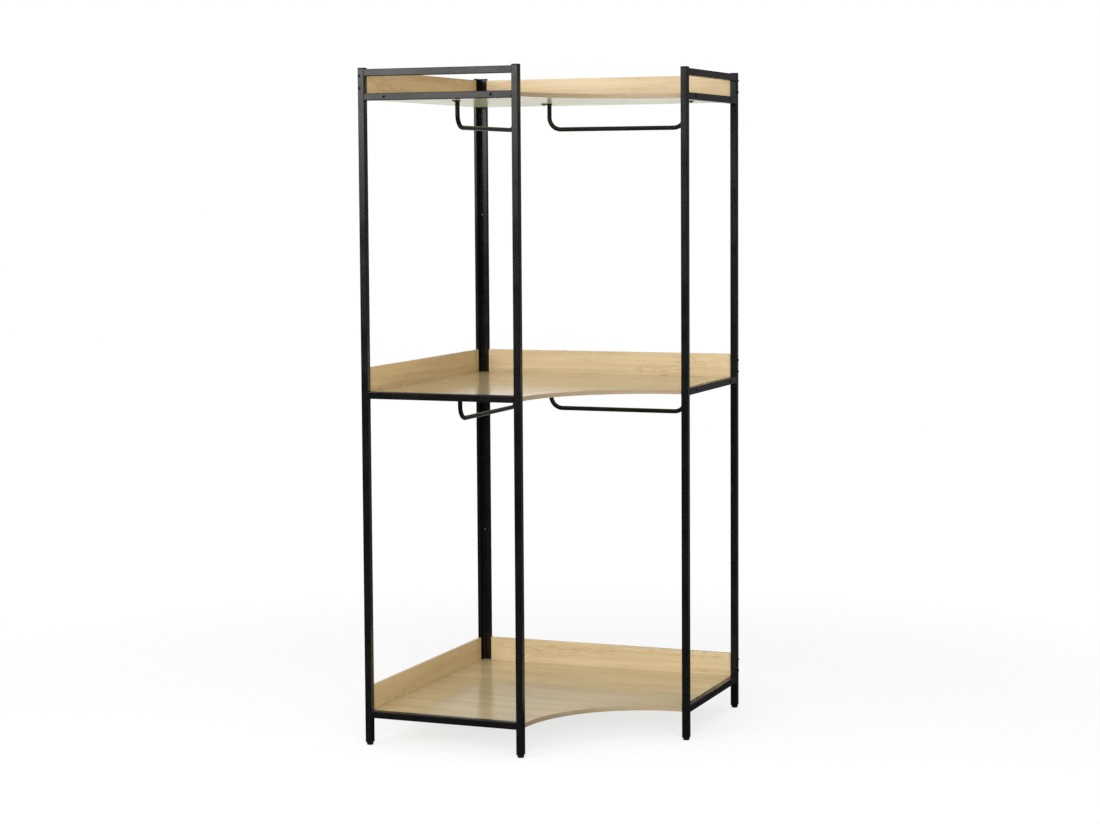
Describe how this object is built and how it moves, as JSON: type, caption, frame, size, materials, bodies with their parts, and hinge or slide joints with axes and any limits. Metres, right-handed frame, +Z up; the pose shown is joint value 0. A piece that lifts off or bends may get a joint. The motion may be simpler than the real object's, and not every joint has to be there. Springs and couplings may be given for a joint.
{
  "type": "corner wardrobe",
  "caption": "Open corner wardrobe: black square-tube side frames and an L-section corner post carry wooden shelves with concave fronts, low upstands and bent hanger rods.",
  "frame": {"origin": "on the floor under the middle of the square plan", "axes": "+Z up; the right wall is on the +Y side, the left wall on the -X side, so the room corner is at -X +Y"},
  "size_m": [0.8436, 0.8436, 1.9],
  "materials": {
    "frame_black": "satin black powder coat",
    "shelf_wood": "satin light oak look",
    "edge_band": "wood-tone edge band",
    "dowel_wood": "plain beech",
    "black_plastic": "matte moulded plastic",
    "black_screws": "blackened steel",
    "bare_steel": "bare rolled steel"
  },
  "bodies": {
    "frame": {"bottom_left_upstand": "shelf_wood", "bottom_right_upstand": "shelf_wood", "bottom_shelf": "shelf_wood", "bottom_shelf_edge_band": "edge_band", "corner_post_cap": "black_plastic", "corner_post_lower": "frame_black", "corner_post_screws": "black_screws", "corner_post_shoe": "black_plastic", "corner_post_sleeve": "bare_steel", "corner_post_upper": "frame_black", "foot_inserts": "black_plastic", "hanger_rod_screws": "black_screws", "hanger_rod_tabs": "frame_black", "left_bottom_rail": "frame_black", "left_front_post_lower": "frame_black", "left_front_post_upper": "frame_black", "left_middle_rail": "frame_black", "left_rear_post_lower": "frame_black", "left_rear_post_upper": "frame_black", "left_top_rail": "frame_black", "left_upper_rail": "frame_black", "middle_left_hanger_rod": "frame_black", "middle_left_upstand": "shelf_wood", "middle_right_hanger_rod": "frame_black", "middle_right_upstand": "shelf_wood", "middle_shelf": "shelf_wood", "middle_shelf_edge_band": "edge_band", "post_sleeves": "bare_steel", "post_top_caps": "black_plastic", "rear_post_screws": "black_screws", "right_bottom_rail": "frame_black", "right_front_post_lower": "frame_black", "right_front_post_upper": "frame_black", "right_middle_rail": "frame_black", "right_rear_post_lower": "frame_black", "right_rear_post_upper": "frame_black", "right_top_rail": "frame_black", "right_upper_rail": "frame_black", "shelf_screws": "black_screws", "upper_left_hanger_rod": "frame_black", "upper_left_upstand": "shelf_wood", "upper_right_hanger_rod": "frame_black", "upper_right_upstand": "shelf_wood", "upper_shelf": "shelf_wood", "upper_shelf_edge_band": "edge_band", "upstand_dowels": "dowel_wood"},
    "left_front_foot": {"left_front_foot": "black_plastic"},
    "left_rear_foot": {"left_rear_foot": "black_plastic"},
    "right_front_foot": {"right_front_foot": "black_plastic"},
    "right_rear_foot": {"right_rear_foot": "black_plastic"}
  },
  "joints": [
    {"name": "left_front_foot_screw", "type": "slide", "parent": "frame", "child": "left_front_foot", "axis": [0, 0, -1], "range_m": [0, 0.01]},
    {"name": "left_rear_foot_screw", "type": "slide", "parent": "frame", "child": "left_rear_foot", "axis": [0, 0, -1], "range_m": [0, 0.01]},
    {"name": "right_front_foot_screw", "type": "slide", "parent": "frame", "child": "right_front_foot", "axis": [0, 0, -1], "range_m": [0, 0.01]},
    {"name": "right_rear_foot_screw", "type": "slide", "parent": "frame", "child": "right_rear_foot", "axis": [0, 0, -1], "range_m": [0, 0.01]}
  ]
}
